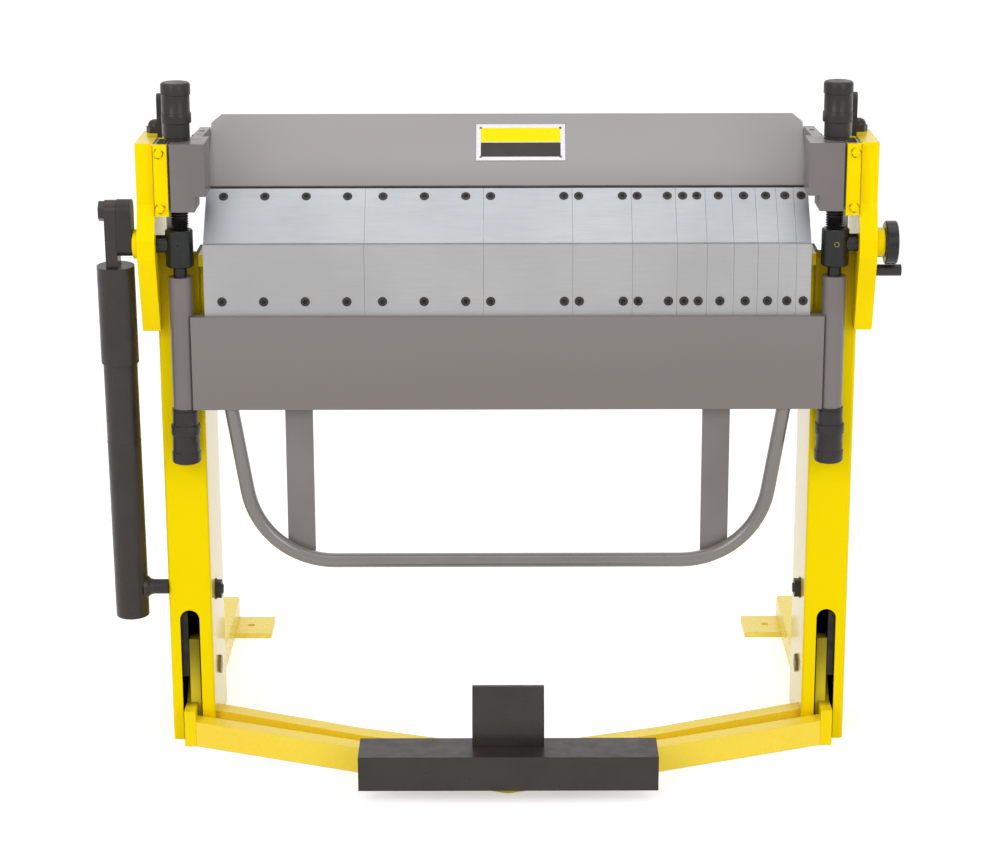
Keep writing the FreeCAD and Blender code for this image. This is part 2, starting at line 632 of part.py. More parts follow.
def side_hardware():
    """Bearing flange, cap nut and locking lever of the left cheek."""
    flange = cylinder(-PLATE_OUTER - FLANGE_THICKNESS, FOLD_Y, FOLD_HEIGHT, FLANGE_RADIUS,
                      FLANGE_THICKNESS, (1, 0, 0))
    flange = flange.cut(cylinder(-PLATE_OUTER - 20.0, FOLD_Y, FOLD_HEIGHT,
                                 SHAFT_RADIUS + RUN_GAP, 40.0, (1, 0, 0)))
    top = FOLD_HEIGHT + PLATE_TOP
    cap_y = FOLD_Y + 45.0
    cap_x = -PLATE_INNER - PLATE_THICKNESS / 2
    cap = hexagon(cap_x, cap_y, top, CAP_WIDTH, CAP_HEIGHT, (0, 0, 1))
    dome = Part.makeCone(CAP_WIDTH * 0.4, CAP_WIDTH * 0.28, DOME_HEIGHT, V(cap_x, cap_y, top + CAP_HEIGHT))
    post_y = FOLD_Y + TONGUE_REAR + CONTACT_GAP + 4.0
    post = box(-PLATE_INNER, -PLATE_INNER + 8.0, post_y, post_y + 22.0, FOLD_HEIGHT + GUIDE_TOP,
               top + 60.0)
    grip = cylinder(-PLATE_INNER, post_y + 11.0, top + 60.0, 11.0, 8.0, (1, 0, 0))
    return flange, fused(cap, dome), fused(post, grip)


def stop_pin():
    return cylinder(PLATE_OUTER, FOLD_Y + STOP_PIN_BACK, FOLD_HEIGHT - STOP_PIN_DROP,
                    STOP_PIN_RADIUS, STOP_PIN_LENGTH, (1, 0, 0))


def nameplate():
    """A bare plate on the slope, square to it."""
    plate = box(BADGE_SHIFT - BADGE_WIDTH / 2, BADGE_SHIFT + BADGE_WIDTH / 2, -BADGE_HEIGHT / 2,
                BADGE_HEIGHT / 2, 0, BADGE_THICKNESS)
    plate.rotate(V(0, 0, 0), V(1, 0, 0), 45)
    rear = FINGER_THICKNESS * math.sqrt(2.0)
    plate.translate(V(0, FOLD_Y + BADGE_RISE + rear, FOLD_HEIGHT + BADGE_RISE))
    return plate


def build():
    os.makedirs("parts", exist_ok=True)
    save_sides("column", column())
    save_sides("side_plate", side_plate())
    save("guide_covers", both_sides(Part.makeCompound(guide_cover())))
    tube, foot = rail()
    save_sides("rear_rail", tube)
    save("anchor_feet", both_sides(foot))
    save("front_brace", vee(COLUMN_INNER, BRACE_START, BRACE_SETBACK, 0))
    save("lower_beam", lower_beam())
    bar, ledge = bed()
    save("bed_bar", bar)
    save("bed_ledge", ledge)
    save("pivot_bolts", both_sides(pivot_bolt()))
    flange, cap, lever = side_hardware()
    save("bearing_flanges", both_sides(flange))
    save("cap_nuts", both_sides(cap))
    save("locking_levers", both_sides(lever))
    for width, (x0, x1) in zip(FINGER_SET, segments()):
        save("finger_%03d" % width, finger(x0, x1))
    save("clamping_beam", sloping_beam())
    save_sides("end_block", end_block())
    save("clamp_screws", both_sides(clamp_screw()))
    save("top_knobs", both_sides(knob(FOLD_Y + SCREW_BACK, FOLD_HEIGHT + BLOCK_TOP)))
    save("link_bars", both_sides(link_bar()))
    save("nameplate", nameplate())
    save("bending_bars", Part.makeCompound(bending_bars()))
    save("apron", apron())
    save("end_posts", both_sides(end_post()))
    save_sides("pivot_collar", collar())
    save("low_knobs", both_sides(knob(FOLD_Y, FOLD_HEIGHT - BEAM_BOTTOM, True)))
    save("crank", crank())
    save("stop_disc", stop_disc())
    tube, left, right = handle()
    save("handle_tube", tube)
    save("handle_straps", Part.makeCompound([left, right]))
    save("pedal_levers", both_sides(pedal_lever()))
    sheet, hook = tread()
    save("pedal_frame", pedal_frame())
    save("pedal_tread", sheet)
    save("toe_hook", hook)
    tube, sleeve, rod, pin = strut()
    save("strut_tube", tube)
    save("strut_sleeve", sleeve)
    save("strut_rod", rod)
    save("side_pins", Part.makeCompound([pin, stop_pin()]))


build()
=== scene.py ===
"""The looks of a foot operated box and pan folder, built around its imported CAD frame.

Lengths are in metres. The frame's CAD solids get their paint and steel, some are shown again in a
shape nearer to the photo, and small pieces such as screws, nuts and welds ride on the same bodies.
"""

import math

import bmesh
import bpy
from mathutils import Matrix, Vector


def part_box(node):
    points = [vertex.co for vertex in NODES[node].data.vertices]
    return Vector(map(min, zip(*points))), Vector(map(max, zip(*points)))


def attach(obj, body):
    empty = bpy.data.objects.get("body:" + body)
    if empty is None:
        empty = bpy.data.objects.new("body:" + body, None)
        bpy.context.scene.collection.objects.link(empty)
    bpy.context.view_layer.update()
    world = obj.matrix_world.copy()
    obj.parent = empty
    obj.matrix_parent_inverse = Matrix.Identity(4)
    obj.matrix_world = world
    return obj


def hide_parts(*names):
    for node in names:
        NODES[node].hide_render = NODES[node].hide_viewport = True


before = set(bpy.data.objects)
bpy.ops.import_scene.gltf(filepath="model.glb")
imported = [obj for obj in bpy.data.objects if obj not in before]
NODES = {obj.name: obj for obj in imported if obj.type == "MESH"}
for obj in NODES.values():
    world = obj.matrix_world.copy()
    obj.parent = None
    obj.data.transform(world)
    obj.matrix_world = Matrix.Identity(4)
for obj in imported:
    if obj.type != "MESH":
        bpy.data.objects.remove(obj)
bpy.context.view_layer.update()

# The fold line, which the bending beam turns about, and the levels measured from it
FOLD_Y = -0.595
FOLD_Z = 0.903
BLOCK_TOP = FOLD_Z + 0.172
BEAM_BOTTOM = FOLD_Z - 0.288
SLANT = math.radians(45)

PAINT_EDGE = 0.0012
PAINT_GRAIN = 600.0
STEEL_EDGE = 0.0004
BEVEL_SAMPLES = 6
SMOOTH_ANGLE = math.radians(30)
MIX_FACTOR, MIX_FIRST, MIX_SECOND, MIX_RESULT = 0, 6, 7, 2


# Materials

def srgb(red, green, blue):
    """A colour written as sRGB bytes, as the linear colour that the shader takes."""
    linear = []
    for value in (red, green, blue):
        c = value / 255.0
        linear.append(c / 12.92 if c <= 0.04045 else ((c + 0.055) / 1.055) ** 2.4)
    return (*linear, 1.0)


class Shader:
    """A node tree with one Principled shader, and short ways to add to it."""

    def __init__(self, name):
        self.material = bpy.data.materials.new(name)
        self.material.use_nodes = True
        self.tree = self.material.node_tree
        self.bsdf = self.tree.nodes["Principled BSDF"]
        self.place = self.add("ShaderNodeTexCoord").outputs["Object"]

    def add(self, kind, **inputs):
        node = self.tree.nodes.new(kind)
        for key, value in inputs.items():
            node.inputs[key.replace("_", " ")].default_value = value
        return node

    def link(self, source, target):
        self.tree.links.new(source, target)

    def set(self, **values):
        for key, value in values.items():
            self.bsdf.inputs[key.replace("_", " ")].default_value = value

    def stretched(self, scale):
        """Object coordinates, stretched by a scale for each axis."""
        mapping = self.add("ShaderNodeMapping", Scale=scale)
        self.link(self.place, mapping.inputs["Vector"])
        return mapping.outputs["Vector"]

    def noise(self, scale, detail=4.0, rough=0.55, vector=None):
        node = self.add("ShaderNodeTexNoise", Scale=scale, Detail=detail, Roughness=rough)
        self.link(vector or self.place, node.inputs["Vector"])
        return node.outputs["Fac"]

    def span(self, value, low, high, start=0.3, end=0.7):
        """A value that runs softly from low to high as another goes from start to end."""
        node = self.add("ShaderNodeMapRange")
        node.interpolation_type = "SMOOTHSTEP"
        for key, number in (("From Min", start), ("From Max", end), ("To Min", low), ("To Max", high)):
            node.inputs[key].default_value = number
        self.link(value, node.inputs["Value"])
        return node.outputs["Result"]

    def mix(self, factor, first, second):
        """A colour between two colours, each of them a constant or a socket."""
        node = self.add("ShaderNodeMix")
        node.data_type = "RGBA"
        for index, value in ((MIX_FACTOR, factor), (MIX_FIRST, first), (MIX_SECOND, second)):
            if isinstance(value, tuple):
                node.inputs[index].default_value = value
            else:
                self.link(value, node.inputs[index])
        return node.outputs[MIX_RESULT]

    def edges(self, radius):
        """A normal that is rounded at sharp edges."""
        bevel = self.add("ShaderNodeBevel", Radius=radius)
        bevel.samples = BEVEL_SAMPLES
        return bevel.outputs["Normal"]

    def bump(self, height, strength, distance, normal):
        node = self.add("ShaderNodeBump", Strength=strength, Distance=distance)
        self.link(height, node.inputs["Height"])
        self.link(normal, node.inputs["Normal"])
        return node.outputs["Normal"]


def paint(name, colour, shade, roughness, coat, tint=(1, 1, 1, 1)):
    """Sprayed paint: a slight orange peel, faint uneven colour, softly rounded edges."""
    s = Shader(name)
    tone = s.mix(s.span(s.noise(5.0, 3.0), 0.0, 1.0, 0.35, 0.68), colour, shade)
    s.link(tone, s.bsdf.inputs["Base Color"])
    s.link(s.span(s.noise(25.0, 4.0), roughness * 0.85, roughness * 1.2), s.bsdf.inputs["Roughness"])
    peel = s.bump(s.noise(PAINT_GRAIN, 2.0), 0.04, 0.00001, s.edges(PAINT_EDGE))
    s.link(peel, s.bsdf.inputs["Normal"])
    s.set(Coat_Weight=coat, Coat_Roughness=0.1, IOR=1.5, Specular_Tint=tint)
    return s.material


def graded_paint(name, low, high, bottom, top, roughness, coat, axis="Z", tint=(1, 1, 1, 1)):
    """Paint whose colour changes from one height or depth to another: painted shade where a part runs
    into shadow, on some parts together with dirt.
    """
    s = Shader(name)
    place = s.add("ShaderNodeSeparateXYZ")
    s.link(s.place, place.inputs["Vector"])
    tone = s.mix(s.span(place.outputs[axis], 0.0, 1.0, bottom, top), low, high)
    cloud = s.span(s.noise(3.0, 2.0, 0.5, s.stretched((0.5, 1.6, 1.6))), 0.0, 0.5, 0.0, 1.0)
    s.link(s.mix(cloud, tone, tuple(c * 0.86 for c in low)), s.bsdf.inputs["Base Color"])
    s.link(s.edges(PAINT_EDGE), s.bsdf.inputs["Normal"])
    s.set(Roughness=roughness, Coat_Weight=coat, Coat_Roughness=0.12, IOR=1.5, Specular_Tint=tint)
    return s.material


def ground_steel(name, light, dark, roughness, along=(6.0, 260.0, 260.0), metallic=0.45):
    """Ground plate: long fine scratches, faint cloudy patches and a soft shine."""
    s = Shader(name)
    scratches = s.noise(3.0, 6.0, 0.7, s.stretched(along))
    clouds = s.noise(3.2, 5.0, 0.6)
    tone = s.mix(s.span(clouds, 0.0, 1.0, 0.3, 0.72), light, dark)
    lines = s.mix(s.span(scratches, 0.0, 0.55, 0.4, 0.75), tone, dark)
    s.link(lines, s.bsdf.inputs["Base Color"])
    s.link(s.span(scratches, roughness * 0.8, roughness * 1.25), s.bsdf.inputs["Roughness"])
    s.link(s.bump(scratches, 0.25, 0.00003, s.edges(STEEL_EDGE)), s.bsdf.inputs["Normal"])
    s.set(Metallic=metallic, Anisotropic=0.35)
    return s.material


def oiled_black(name, colour, shade, roughness, edge=0.0009):
    """Blackened steel: dark brown black with a dull oily sheen and worn edges."""
    s = Shader(name)
    patches = s.noise(14.0, 5.0)
    s.link(s.mix(s.span(patches, 0.0, 1.0), colour, shade), s.bsdf.inputs["Base Color"])
    s.link(s.span(s.noise(40.0, 5.0), roughness * 0.8, roughness * 1.3), s.bsdf.inputs["Roughness"])
    s.link(s.bump(s.noise(500.0, 3.0), 0.3, 0.00003, s.edges(edge)), s.bsdf.inputs["Normal"])
    s.set(IOR=1.36, Coat_Weight=0.12, Coat_Roughness=0.12)
    return s.material


GOLD_TINT = (1.0, 0.82, 0.05, 1.0)
# Painted shade and reflection: a darker, glossier copy of the column paint for the columns' inner
# sides.
YELLOW_SIDE_SHADE_REFLECTION = graded_paint("yellow_side_shade_reflection", srgb(232, 203, 36), srgb(228, 196, 20),
                           bottom=0.0, top=0.9, roughness=0.3, coat=0.55)
# Darker and browner towards the top, below the beam and side plates: painted shade there, and dirt.
YELLOW_COLUMN = graded_paint("column_paint", srgb(255, 226, 0), srgb(178, 149, 32),
                             bottom=0.74, top=0.865, roughness=0.24, coat=0.0, tint=GOLD_TINT)
# Painted shade: the lever turns dark olive where it runs back into the column.
YELLOW_LEVER_SHADED = graded_paint("lever_paint_shaded_inside", srgb(255, 226, 20), srgb(104, 92, 26),
                            bottom=FOLD_Y + 0.010, top=FOLD_Y + 0.040, roughness=0.26, coat=0.0,
                            axis="Y", tint=GOLD_TINT)
# Painted shade: the riser turns near-black towards its top inside the column.
YELLOW_RISER_SHADED = graded_paint("riser_paint_shaded_top", srgb(222, 202, 50), srgb(58, 52, 30),
                            bottom=0.07, top=0.178, roughness=0.3, coat=0.0, tint=GOLD_TINT)
# Yellow that turns darker and browner towards the top.
YELLOW_DARK_TOP = graded_paint("yellow_dark_top", srgb(255, 226, 0), srgb(158, 130, 36),
                            bottom=0.80, top=0.87, roughness=0.24, coat=0.0, tint=GOLD_TINT)
# Painted reflection: a paler copy of the yellow paint for the pedal frame and front brace, near the
# white floor.
YELLOW_LOW_REFLECTION = paint("yellow_low_painted_reflection", srgb(255, 225, 52), srgb(254, 221, 44), roughness=0.26, coat=0.1)
# Painted reflection: a still paler copy of the yellow paint for the rear rails and feet.
YELLOW_PALE_REFLECTION = paint("yellow_pale_painted_reflection", srgb(255, 233, 100), srgb(255, 230, 88), roughness=0.26, coat=0.1)
SHADED = oiled_black("shaded_inside", srgb(44, 38, 28), srgb(30, 26, 20), roughness=0.7)
YELLOW = paint("yellow_paint", srgb(255, 226, 0), srgb(250, 217, 0),
               roughness=0.22, coat=0.0, tint=GOLD_TINT)
BEAM_GRAY = graded_paint("gray_paint", srgb(122, 115, 112), srgb(128, 122, 119),
                         bottom=0.62, top=0.80, roughness=0.4, coat=0.1)
SLOPE_GRAY = graded_paint("slope_paint", srgb(138, 133, 132), srgb(151, 148, 148),
                          bottom=0.975, top=1.03, roughness=0.28, coat=0.3)
POST_GRAY = paint("post_paint", srgb(116, 109, 108), srgb(109, 102, 101), roughness=0.34, coat=0.15)
HANDLE_GRAY = paint("handle_paint", srgb(124, 118, 115), srgb(114, 108, 105),
                    roughness=0.34, coat=0.1)
TUBE_GRAY = paint("tube_paint", srgb(122, 117, 114), srgb(114, 109, 106), roughness=0.2, coat=0.7)
FINGER_STEEL = ground_steel("finger_steel", srgb(176, 179, 182), srgb(160, 163, 167), roughness=0.38)
BAR_STEEL = ground_steel("bar_steel", srgb(174, 174, 174), srgb(163, 163, 164), roughness=0.42)
BED_STEEL = ground_steel("bed_steel", srgb(200, 200, 200), srgb(170, 170, 168), roughness=0.35)
BLACK = oiled_black("black_oxide", srgb(45, 41, 39), srgb(36, 33, 32), roughness=0.42)
BLACK_PAINT = oiled_black("black_paint", srgb(52, 46, 42), srgb(45, 40, 37),
                          roughness=0.34, edge=0.0014)
COLLAR_BLACK = oiled_black("collar_black", srgb(24, 27, 26), srgb(18, 21, 20), roughness=0.28)
ZINC = ground_steel("zinc_brown", srgb(150, 128, 84), srgb(98, 82, 54), roughness=0.4,
                    along=(60.0, 60.0, 60.0), metallic=0.8)
SCREW_BLACK = oiled_black("screw_black", srgb(58, 50, 45), srgb(44, 38, 35),
                          roughness=0.45, edge=0.0003)
# Painted shade: a near-black fill for screw sockets, holes and gaps.
HOLE_SHADE = oiled_black("painted_hole_shade", srgb(20, 18, 17), srgb(14, 13, 13),
                          roughness=0.7, edge=0.0003)
JOINT_DARK = oiled_black("joint_dark", srgb(88, 76, 68), srgb(66, 56, 49),
                         roughness=0.6, edge=0.0003)
BOLT_RING_BROWN = oiled_black("bolt_ring_brown", srgb(176, 146, 24), srgb(128, 98, 26), roughness=0.7, edge=0.0003)
PLATE_YELLOW = paint("badge_yellow", srgb(255, 226, 0), srgb(252, 221, 0),
                     roughness=0.3, coat=0.0, tint=GOLD_TINT)
PLATE_BLACK = oiled_black("badge_black", srgb(46, 36, 37), srgb(40, 32, 33), roughness=0.35)
PLATE_RIM = ground_steel("badge_rim", srgb(212, 212, 214), srgb(200, 200, 203), roughness=0.3)

# The material of each node, by the start of its name. A node that isn't here is black, or is
# shown again below with materials of its own.
LOOKS = {
    "side_plate_": YELLOW, "guide_covers": YELLOW, "rear_rail_": YELLOW_PALE_REFLECTION,
    "anchor_feet": YELLOW_PALE_REFLECTION, "front_brace": YELLOW_LOW_REFLECTION, "lower_beam": YELLOW_DARK_TOP,
    "pedal_frame": YELLOW_LOW_REFLECTION, "pedal_levers": YELLOW_LEVER_SHADED, "clamping_beam": SLOPE_GRAY,
    "end_block_": POST_GRAY, "end_posts": POST_GRAY, "handle_": HANDLE_GRAY,
    "finger_": FINGER_STEEL, "bending_bars": BAR_STEEL, "bed_bar": BED_STEEL,
    "bed_ledge": YELLOW_DARK_TOP, "pivot_bolts": ZINC, "pedal_tread": BLACK_PAINT,
    "toe_hook": BLACK_PAINT, "strut_": BLACK_PAINT,
}


def dress(node, obj):
    look = next((LOOKS[key] for key in LOOKS if node.startswith(key)), BLACK)
    obj.data.materials.clear()
    obj.data.materials.append(look)


for node_name, node_object in NODES.items():
    dress(node_name, node_object)


# Mesh helpers

def finish_mesh(name, bm, material, turn_faces=True):
    """An object from a bmesh, with one material or a list of them, smooth up to 30 degrees."""
    mesh = bpy.data.meshes.new(name)
    if turn_faces:
        bmesh.ops.recalc_face_normals(bm, faces=bm.faces)
    bm.to_mesh(mesh)
    bm.free()
    obj = bpy.data.objects.new(name, mesh)
    bpy.context.scene.collection.objects.link(obj)
    for item in material if isinstance(material, (list, tuple)) else [material]:
        mesh.materials.append(item)
    for polygon in mesh.polygons:
        polygon.use_smooth = True
    mesh.set_sharp_from_angle(angle=SMOOTH_ANGLE)
    return obj


def lathe(bm, profile, matrix, segments=32, slot=0):
    """Turns (radius, height) points round the local Z axis."""
    rings = []
    for radius, height in profile:
        if radius == 0.0:
            rings.append([bm.verts.new(matrix @ Vector((0, 0, height)))])
            continue
        angles = [i * math.tau / segments for i in range(segments)]
        spots = [Vector((radius * math.cos(a), radius * math.sin(a), height)) for a in angles]
        rings.append([bm.verts.new(matrix @ spot) for spot in spots])
    for lower, upper in zip(rings, rings[1:]):
        for i in range(segments):
            j = (i + 1) % segments
            corners = [lower[i % len(lower)], lower[j % len(lower)],
                       upper[j % len(upper)], upper[i % len(upper)]]
            unique = list(dict.fromkeys(corners))
            if len(unique) > 2:
                bm.faces.new(unique).material_index = slot


def prism(bm, points, matrix, low, high, slot=0):
    """A closed outline of local (x, y) points between two heights."""
    bottom = [bm.verts.new(matrix @ Vector((x, y, low))) for x, y in points]
    top = [bm.verts.new(matrix @ Vector((x, y, high))) for x, y in points]
    faces = [bm.faces.new(bottom), bm.faces.new(top)]
    for i in range(len(points)):
        j = (i + 1) % len(points)
        faces.append(bm.faces.new([bottom[i], bottom[j], top[j], top[i]]))
    for face in faces:
        face.material_index = slot


def facing(origin, direction, up=(0, 0, 1)):
    """A matrix whose local Z points along the direction."""
    z = Vector(direction).normalized()
    x = Vector(up).cross(z)
    x = x.normalized() if x.length > 1e-6 else Vector((1, 0, 0))
    turn = Matrix((x, z.cross(x), z)).transposed()
    return Matrix.Translation(Vector(origin)) @ turn.to_4x4()


def along(x, y, z, sign):
    """A matrix whose local Z points outwards along X."""
    return facing((x, y, z), (sign, 0, 0))


def hexagon(radius):
    return [(radius * math.cos(i * math.pi / 3), radius * math.sin(i * math.pi / 3))
            for i in range(6)]


def cut_away(bm, point, normal):
    """Cuts off what lies past a plane, and gives the edges of the cut."""
    cut = bmesh.ops.bisect_plane(bm, geom=bm.verts[:] + bm.edges[:] + bm.faces[:], plane_co=point,
                                 plane_no=normal, clear_outer=True)
    return [edge for edge in cut["geom_cut"] if isinstance(edge, bmesh.types.BMEdge)]


# Puts a prism's outline of (y, z) points in the world, and its two heights along X
ALONG_X = Matrix(((0, 0, 1, 0), (1, 0, 0, 0), (0, 1, 0, 0), (0, 0, 0, 1)))


# Screws in the face of the fingers and of the bending bars

SEGMENTS = [0.270, 0.200, 0.150, 0.100, 0.075, 0.050, 0.045, 0.040, 0.035, 0.030, 0.025]
SCREW_PLACES = {0.270: [0.030, 0.100, 0.170, 0.240], 0.200: [0.030, 0.100, 0.170],
                0.150: [0.012, 0.136], 0.100: [0.011, 0.085], 0.075: [0.010, 0.061],
                0.050: [0.012, 0.036]}
WORK_LEFT = -0.510
HEAD_RADIUS = 0.0079
HEAD_PROFILE = [(HEAD_RADIUS, -0.003), (HEAD_RADIUS, 0.0006), (HEAD_RADIUS * 0.9, 0.0011),
                (HEAD_RADIUS * 0.52, 0.0011), (HEAD_RADIUS * 0.52, 0.0004)]
SOCKET_RADIUS = HEAD_RADIUS * 0.56


def socket_screw(bm, place, direction):
    """A cap screw's head: slot 0 the head, slot 1 its hexagon socket, a dark solid of painted shade.
    """
    matrix = facing(place, direction)
    lathe(bm, HEAD_PROFILE, matrix, 32, 0)
    prism(bm, hexagon(SOCKET_RADIUS), matrix, 0.0004, 0.0012, 1)


def screw_row(name, y, z, direction, body):
    """The screws of all the segments, from the widest on the left to the narrowest."""
    bm = bmesh.new()
    left = WORK_LEFT
    for width in SEGMENTS:
        for place in SCREW_PLACES.get(width, [width / 2]):
            socket_screw(bm, (left + place, y, z), direction)
        left += width
    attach(finish_mesh(name, bm, [SCREW_BLACK, HOLE_SHADE]), body)


FINGER_SCREW_BACK, FINGER_SCREW_UP = 0.067, 0.0673
BAR_FACE_OUT, BAR_SCREW_DOWN = 0.0085, 0.098
screw_row("finger_screws", FOLD_Y + FINGER_SCREW_BACK, FOLD_Z + FINGER_SCREW_UP, (0, -1, 1), "clamp")
screw_row("bar_screws", FOLD_Y - BAR_FACE_OUT, FOLD_Z - BAR_SCREW_DOWN, (0, -1, 0), "bending_beam")


# The bare two-tone nameplate

BADGE_LENGTH = 0.076
BADGE_HALF = 0.0007
RIM_HALF = BADGE_HALF * 0.6
RIM_SIDE, RIM_END, SPLIT_HALF = 0.0080, 0.0078, 0.0008
RIVET_PROFILE = [(0.0024, 0.0), (0.0022, 0.0007), (0.0012, 0.0011), (0.0, 0.0012)]


def rectangle(x0, x1, y0, y1):
    return [(x0, y0), (x1, y0), (x1, y1), (x0, y1)]


def nameplate():
    """A silver plate on the slope, with a yellow half over a black one and four screws."""
    low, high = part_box("nameplate")
    middle = (Vector(low) + Vector(high)) / 2
    matrix = Matrix.Translation(middle) @ Matrix.Rotation(SLANT, 4, "X")
    bm = bmesh.new()
    w, h = (high[0] - low[0]) / 2, BADGE_LENGTH / 2
    prism(bm, rectangle(-w, w, -h, h), matrix, -BADGE_HALF, RIM_HALF, 0)
    inner_w, inner_h = w - RIM_SIDE, h - RIM_END
    prism(bm, rectangle(-inner_w, inner_w, SPLIT_HALF, inner_h), matrix, 0.0, BADGE_HALF, 1)
    prism(bm, rectangle(-inner_w, inner_w, -inner_h, -SPLIT_HALF), matrix, 0.0, BADGE_HALF, 2)
    for x in (-inner_w, inner_w):
        for y in (-inner_h, inner_h):
            spot = matrix @ Matrix.Translation((x, y, RIM_HALF))
            lathe(bm, RIVET_PROFILE, spot, 16, 3)
    plate = finish_mesh("badge", bm, [PLATE_RIM, PLATE_YELLOW, PLATE_BLACK, ZINC])
    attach(plate, "clamp")
    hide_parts("nameplate")


nameplate()


# Threaded clamp screws between the end blocks and the pivot collars

THREAD_BOTTOM = FOLD_Z + 0.006
THREAD_TOP = FOLD_Z + 0.0525
THREAD_PITCH = 0.0044
THREAD_CREST = 0.0147
THREAD_ROOT = 0.0118
COLLAR_CLEARANCE = 0.0345


def clamp_screws():
    """Two screws, cut off at a slant below so that the swinging collars pass them."""
    low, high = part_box("clamp_screws")
    core = (high[1] - low[1]) / 2
    middle = (low[1] + high[1]) / 2
    profile = [(0.0, THREAD_BOTTOM)]
    z = THREAD_BOTTOM
    while z < THREAD_TOP:
        profile += [(THREAD_ROOT, z), (THREAD_CREST, z + THREAD_PITCH * 0.32),
                    (THREAD_CREST, z + THREAD_PITCH * 0.56), (THREAD_ROOT, z + THREAD_PITCH * 0.9)]
        z += THREAD_PITCH
    shank = core - 0.0001
    profile += [(shank, z), (shank, high[2]), (0.0, high[2])]
    bm = bmesh.new()
    for x in (low[0] + core, high[0] - core):
        lathe(bm, profile, Matrix.Translation((x, middle, 0)), 32)
    normal = Vector((0, -1, -1)).normalized()
    point = Vector((0, FOLD_Y, FOLD_Z)) - normal * COLLAR_CLEARANCE
    bmesh.ops.edgeloop_fill(bm, edges=cut_away(bm, point, normal))
    screws = finish_mesh("threaded_screws", bm, BLACK)
    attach(screws, "clamp")
    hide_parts("clamp_screws")


clamp_screws()


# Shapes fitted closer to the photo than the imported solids

def reshaped(node, body, move):
    """A node's shape again with its corners moved, in the node's place."""
    source = NODES[node]
    bm = bmesh.new()
    bm.from_mesh(source.data)
    bm.transform(source.matrix_world)
    for vert in bm.verts:
        vert.co = Vector(move(*vert.co))
    shape = finish_mesh(node + "_shape", bm, source.data.materials[0], turn_faces=False)
    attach(shape, body)
    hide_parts(node)


NEAR = 0.001
BEAM_RAISE = 0.0038
BEAM_EDGE = BEAM_BOTTOM + BEAM_RAISE

CUT_LEVEL = FOLD_Z + 0.145
CUT_INNER_X = 0.500
CUT_SHIFT = 0.004
CUT_RAISE = 0.010
SLOPE_RAISE = 0.0025


def sloped_beam(x, y, z):
    """A slightly higher beam with a flatter cut at its corners."""
    if z < CUT_LEVEL:
        return x, y, z
    if abs(x) < CUT_INNER_X:
        return x + math.copysign(CUT_SHIFT, x), y + SLOPE_RAISE, z + SLOPE_RAISE
    return x, y + CUT_RAISE, z + CUT_RAISE


ARM_TOP = BLOCK_TOP - 0.012


def end_block(x, y, z):
    """A block whose ridge and arm end just below its top."""
    if z > BLOCK_TOP + 2 * NEAR:
        return x, y, BLOCK_TOP - 0.005
    if abs(z - ARM_TOP) < NEAR:
        return x, y, BLOCK_TOP - 0.004
    return x, y, z


PLATE_REAR = FOLD_Y + 0.126
PLATE_RAISE = -0.0015


def side_plate(x, y, z):
    """A plate with its rear edge further back, and a top that is a little lower."""
    return (x, PLATE_REAR if y > FOLD_Y + 0.097 else y,
            z + PLATE_RAISE if z > FOLD_Z + 0.171 else z)


def raised(x, y, z):
    """The posts' lower ends follow the raised lower edge of the beam."""
    return x, y, z + BEAM_RAISE if z < BEAM_BOTTOM + NEAR else z


LEVER_EDGE = 0.083
LEVER_DROP = 0.017


def lever(x, y, z):
    """A lever whose nose reaches further down."""
    return x, y, z - LEVER_DROP if abs(z - LEVER_EDGE) < NEAR else z


# The handle's tube: steep legs from the beam's edge, wide bends, and a level rung
TUBE_RADIUS = 0.0125
TUBE_SIDES = 24
BEND_STEPS = 16
RUNG_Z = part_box("handle_tube")[0][2] + TUBE_RADIUS
LEG_TOP_X = 0.4700
LEG_SLOPE = 0.16
BEND_RADIUS = 0.150
BEND_ANGLE = math.radians(90) - math.atan(LEG_SLOPE)
BEND_END_X = LEG_TOP_X - LEG_SLOPE * (BEAM_EDGE - RUNG_Z) - BEND_RADIUS * math.tan(BEND_ANGLE / 2)
STRAP_MIDDLE = FOLD_Z - 0.4


def strap(x, y, z):
    """A strap's lower end stops on the tube's bend, and its upper end at the beam."""
    if z > STRAP_MIDDLE:
        return x, y, z + BEAM_RAISE
    past = max(abs(x) - BEND_END_X, 0.0)
    return x, y, RUNG_Z + BEND_RADIUS - math.sqrt(BEND_RADIUS ** 2 - past ** 2)


def handle_tube():
    """The U-shaped tube, swept along two steep legs, two wide bends and a rung."""
    low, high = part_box("handle_tube")
    y, radius = (low[1] + high[1]) / 2, (high[1] - low[1]) / 2
    half = []
    for step in range(BEND_STEPS + 1):
        turn = BEND_ANGLE * step / BEND_STEPS
        half.append((BEND_END_X + BEND_RADIUS * math.sin(turn),
                     RUNG_Z + BEND_RADIUS * (1.0 - math.cos(turn)), turn))
    half.append((LEG_TOP_X, BEAM_EDGE, BEND_ANGLE))
    path = [(-x, z, -turn) for x, z, turn in reversed(half)] + half
    bm = bmesh.new()
    rings = []
    for x, z, turn in path:
        across = Vector((-math.sin(turn), 0, math.cos(turn)))
        rings.append([])
        for k in range(TUBE_SIDES):
            a = math.tau * k / TUBE_SIDES
            spoke = across * math.cos(a) + Vector((0, 1, 0)) * math.sin(a)
            rings[-1].append(bm.verts.new(Vector((x, y, z)) + radius * spoke))
    for vert in rings[0] + rings[-1]:
        vert.co.z = BEAM_EDGE
    for first, second in zip(rings, rings[1:]):
        for k in range(TUBE_SIDES):
            bm.faces.new([first[k], first[k - 1], second[k - 1], second[k]])
    bm.faces.new(rings[0])
    bm.faces.new(rings[-1])
    tube = finish_mesh("handle_sweep", bm, TUBE_GRAY)
    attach(tube, "bending_beam")
    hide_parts("handle_tube")


